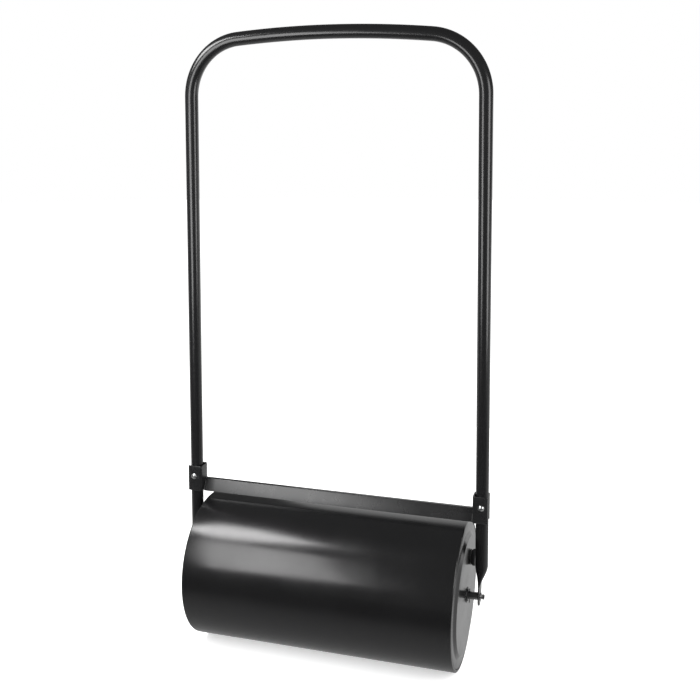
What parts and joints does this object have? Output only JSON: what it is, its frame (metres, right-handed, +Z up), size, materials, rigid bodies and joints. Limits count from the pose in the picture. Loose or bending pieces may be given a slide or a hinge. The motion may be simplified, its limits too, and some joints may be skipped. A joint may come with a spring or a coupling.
{
  "type": "lawn roller",
  "caption": "Water-ballast lawn roller: hollow steel drum on an axle rod under an upright bent-tube handle with a scraper bar and a screw filler plug.",
  "frame": {"origin": "on the ground under the middle of the drum", "axes": "+X along the axle towards the filler end, +Y away from the scraper's sloping face, +Z up"},
  "size_m": [0.7, 0.332, 1.3644],
  "materials": {
    "handle_paint": "black powder coat, satin gloss",
    "drum_paint": "black powder coat, smooth gloss",
    "bracket_paint": "black powder coat, satin",
    "dark_steel": "dark oiled steel",
    "zinc": "bright zinc plating",
    "bush_nylon": "black nylon",
    "plug_plastic": "moulded black plastic",
    "gasket_rubber": "matt rubber"
  },
  "bodies": {
    "handle_frame": {"handle_tube": "handle_paint", "scraper_bar": "bracket_paint", "left_saddle": "bracket_paint", "right_saddle": "bracket_paint", "left_saddle_bolt": "zinc", "right_saddle_bolt": "zinc", "left_saddle_washer": "zinc", "right_saddle_washer": "zinc", "left_saddle_nut": "zinc", "right_saddle_nut": "zinc", "axle_rod": "dark_steel", "left_thrust_washer": "dark_steel", "right_thrust_washer": "dark_steel", "left_split_pin": "dark_steel", "right_split_pin": "dark_steel", "left_axle_washer": "zinc", "right_axle_washer": "zinc", "left_axle_spring_washer": "zinc", "right_axle_spring_washer": "zinc", "left_axle_bolt": "dark_steel", "right_axle_bolt": "dark_steel"},
    "drum": {"drum_shell": "drum_paint", "left_end_disc": "drum_paint", "right_end_disc": "drum_paint", "axle_tube": "dark_steel", "left_hub_bush": "bush_nylon", "right_hub_bush": "bush_nylon", "filler_neck": "dark_steel"},
    "plug_seal": {"plug_gasket": "gasket_rubber"},
    "plug": {"filler_plug": "plug_plastic"}
  },
  "joints": [
    {"name": "drum_spin", "type": "hinge", "parent": "handle_frame", "child": "drum", "pos_m": [0, 0, 0.166], "axis": [1, 0, 0], "continuous": true},
    {"name": "plug_lift", "type": "slide", "parent": "drum", "child": "plug_seal", "axis": [1, 0, 0], "range_m": [0, 0.0025]},
    {"name": "plug_turn", "type": "hinge", "parent": "plug_seal", "child": "plug", "pos_m": [0.3065, 0.0411, 0.23719], "axis": [1, 0, 0], "range_deg": [0, 450]}
  ],
  "couplings": [
    {"joint": "plug_lift", "follows": "plug_turn", "m_per_rad": 0.00031831}
  ]
}
